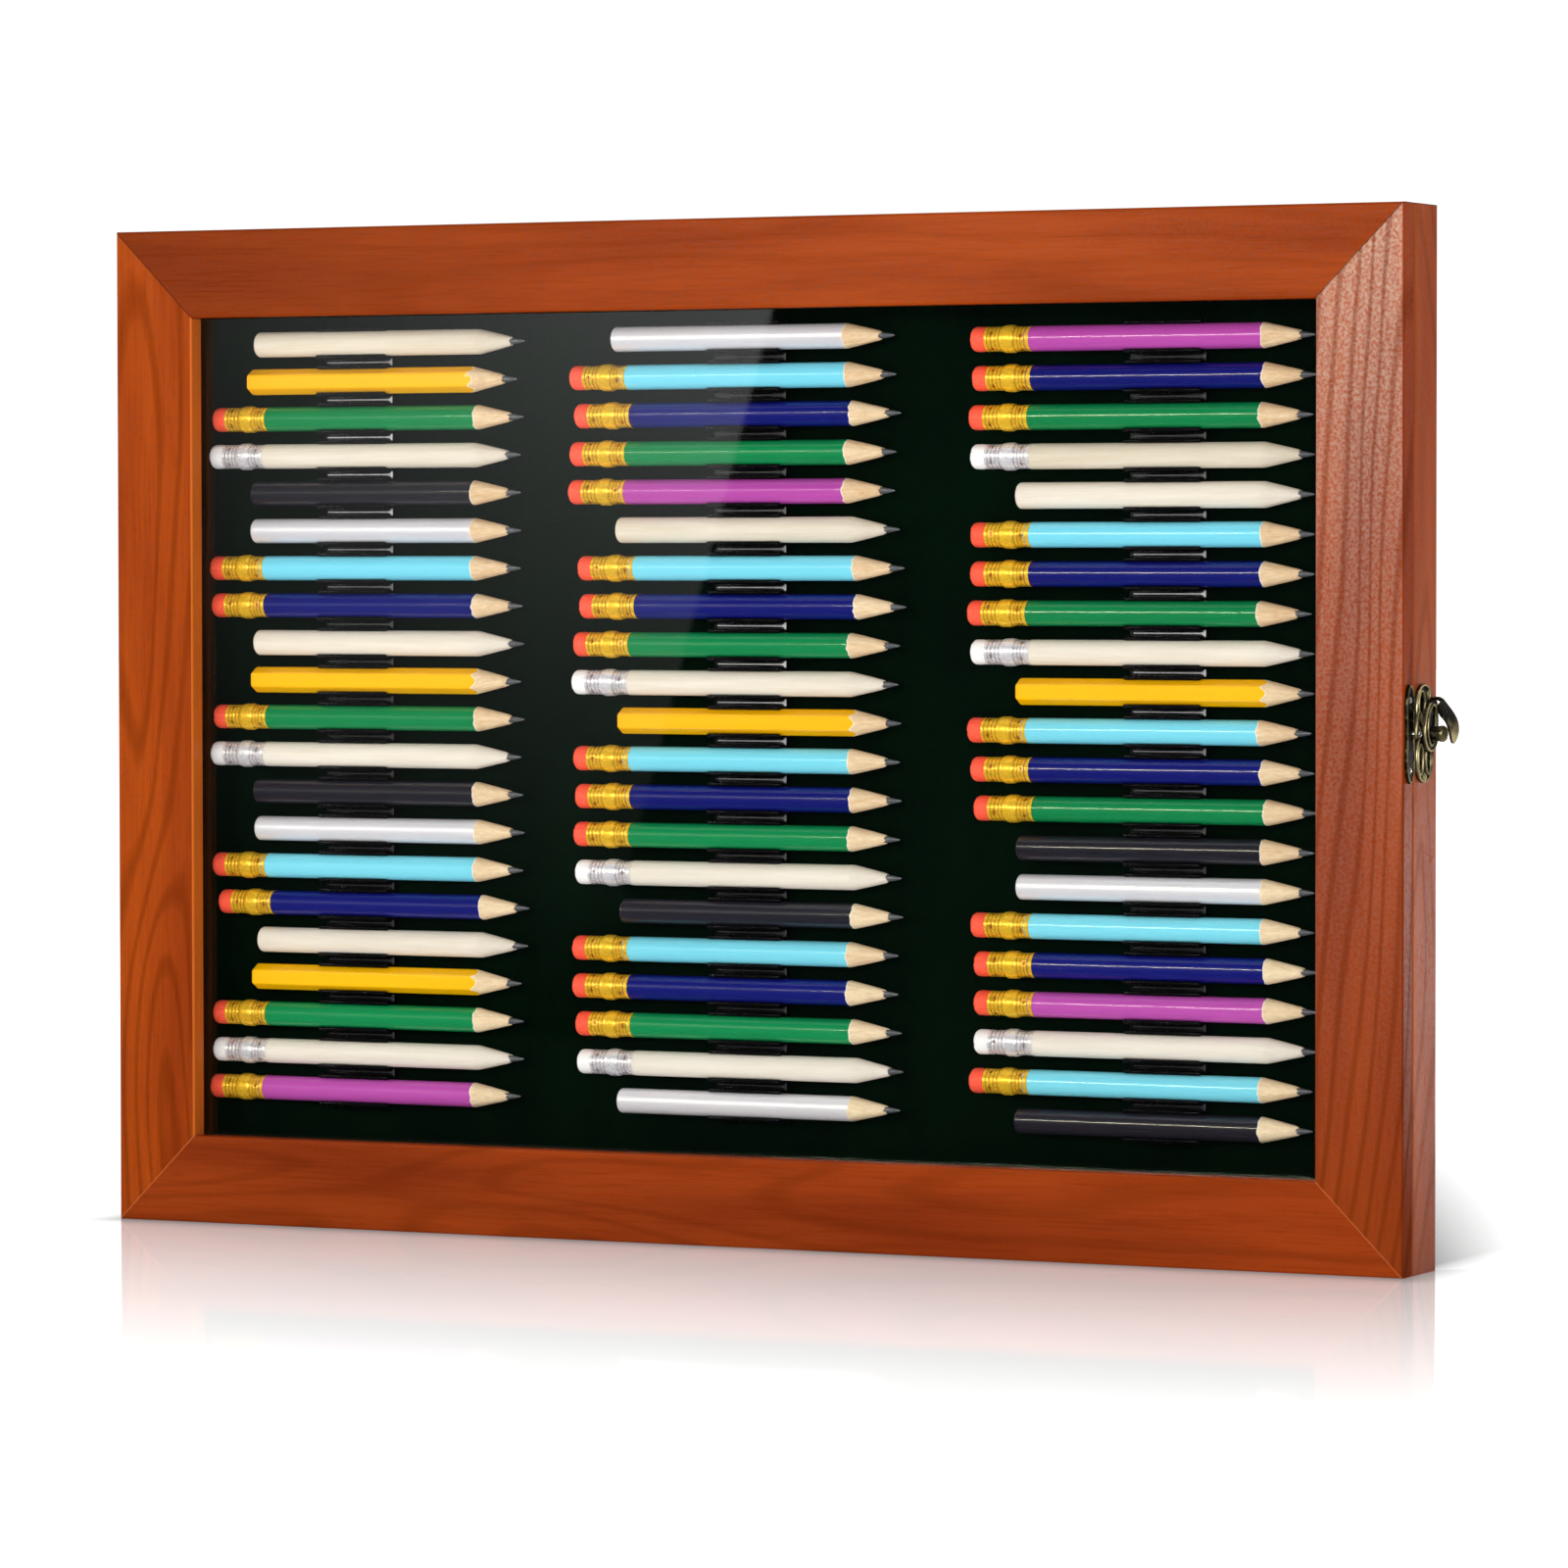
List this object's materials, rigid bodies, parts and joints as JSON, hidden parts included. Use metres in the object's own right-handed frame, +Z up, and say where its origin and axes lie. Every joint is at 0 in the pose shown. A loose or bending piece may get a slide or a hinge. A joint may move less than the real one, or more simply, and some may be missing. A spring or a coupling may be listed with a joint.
{
  "type": "pencil display case",
  "caption": "Shallow wooden wall case with a hinged clear door, a side latch and snap-clip racks that hold golf pencils in rows against dark felt.",
  "frame": {"origin": "middle of the flat underside of the box, on the surface that the case stands on", "axes": "+X to the right seen from the front, +Y to the back towards the wall, +Z up; the door is at -Y"},
  "size_m": [0.4195, 0.0254, 0.2921],
  "materials": {
    "stained_cherry": "satin reddish cherry stain, straight fine grain along each member",
    "back_board": "plain brown hardboard",
    "dark_green_felt": "very dark green felt",
    "black_clip_plastic": "glossy black extruded plastic",
    "clear_acrylic": "clear polished acrylic sheet",
    "zinc_steel": "zinc plated",
    "antique_bronze": "dark antique bronze with rubbed golden edges",
    "natural_wood": "clear lacquered light wood",
    "yellow_lacquer": "gloss yellow lacquer on wood",
    "black_lacquer": "gloss black lacquer on wood",
    "silver_lacquer": "metallic silver lacquer on wood",
    "green_lacquer": "gloss green lacquer on wood",
    "light_blue_lacquer": "gloss light blue lacquer on wood",
    "navy_lacquer": "gloss navy lacquer on wood",
    "purple_lacquer": "gloss purple lacquer on wood",
    "graphite": "grey graphite core",
    "brass_ferrule": "bright crimped brass",
    "silver_ferrule": "bright crimped aluminium",
    "red_eraser": "matt coral red rubber",
    "white_eraser": "matt white rubber"
  },
  "bodies": {
    "case": {"case_rail_bottom": "stained_cherry", "case_rail_top": "stained_cherry", "case_rail_left": "stained_cherry", "case_rail_right": "stained_cherry", "back_panel": "back_board", "back_panel_screws": "zinc_steel", "mounting_board": "back_board", "felt_lining": "dark_green_felt", "rack_left": "black_clip_plastic", "rack_middle": "black_clip_plastic", "rack_right": "black_clip_plastic", "rack_screws": "zinc_steel", "hanger_plates": "zinc_steel", "hanger_screws": "zinc_steel", "hinge_leaf_case_lower": "antique_bronze", "hinge_leaf_case_upper": "antique_bronze", "hinge_pin_lower": "antique_bronze", "hinge_pin_upper": "antique_bronze", "hinge_screws_case": "antique_bronze", "latch_plate_case": "antique_bronze", "latch_pivot_stud": "antique_bronze", "latch_screws_case": "antique_bronze", "pencils_natural": "natural_wood", "pencils_yellow_hex": "yellow_lacquer", "pencils_black": "black_lacquer", "pencils_silver": "silver_lacquer", "pencils_green": "green_lacquer", "pencils_natural_ferruled": "natural_wood", "pencils_light_blue": "light_blue_lacquer", "pencils_navy": "navy_lacquer", "pencils_purple": "purple_lacquer", "pencil_leads": "graphite", "ferrules_brass": "brass_ferrule", "ferrules_silver": "silver_ferrule", "erasers_red": "red_eraser", "erasers_white": "white_eraser"},
    "door": {"door_rail_bottom": "stained_cherry", "door_rail_top": "stained_cherry", "door_stile_left": "stained_cherry", "door_stile_right": "stained_cherry", "acrylic_pane": "clear_acrylic", "pane_clips": "zinc_steel", "pane_clip_screws": "zinc_steel", "hinge_leaf_door_lower": "antique_bronze", "hinge_leaf_door_upper": "antique_bronze", "hinge_screws_door": "antique_bronze", "latch_plate_door": "antique_bronze", "latch_catch_pin": "antique_bronze", "latch_nails_door": "antique_bronze"},
    "hook": {"latch_hook": "antique_bronze"}
  },
  "joints": [
    {"name": "door_hinge", "type": "hinge", "parent": "case", "child": "door", "pos_m": [-0.2051, -0.0055, 0.14605], "axis": [0, 0, -1], "range_deg": [0, 180]},
    {"name": "hook_swing", "type": "hinge", "parent": "case", "child": "hook", "pos_m": [0.20555, 0.0011, 0.1479], "axis": [-1, 0, 0], "range_deg": [0, 90]}
  ]
}
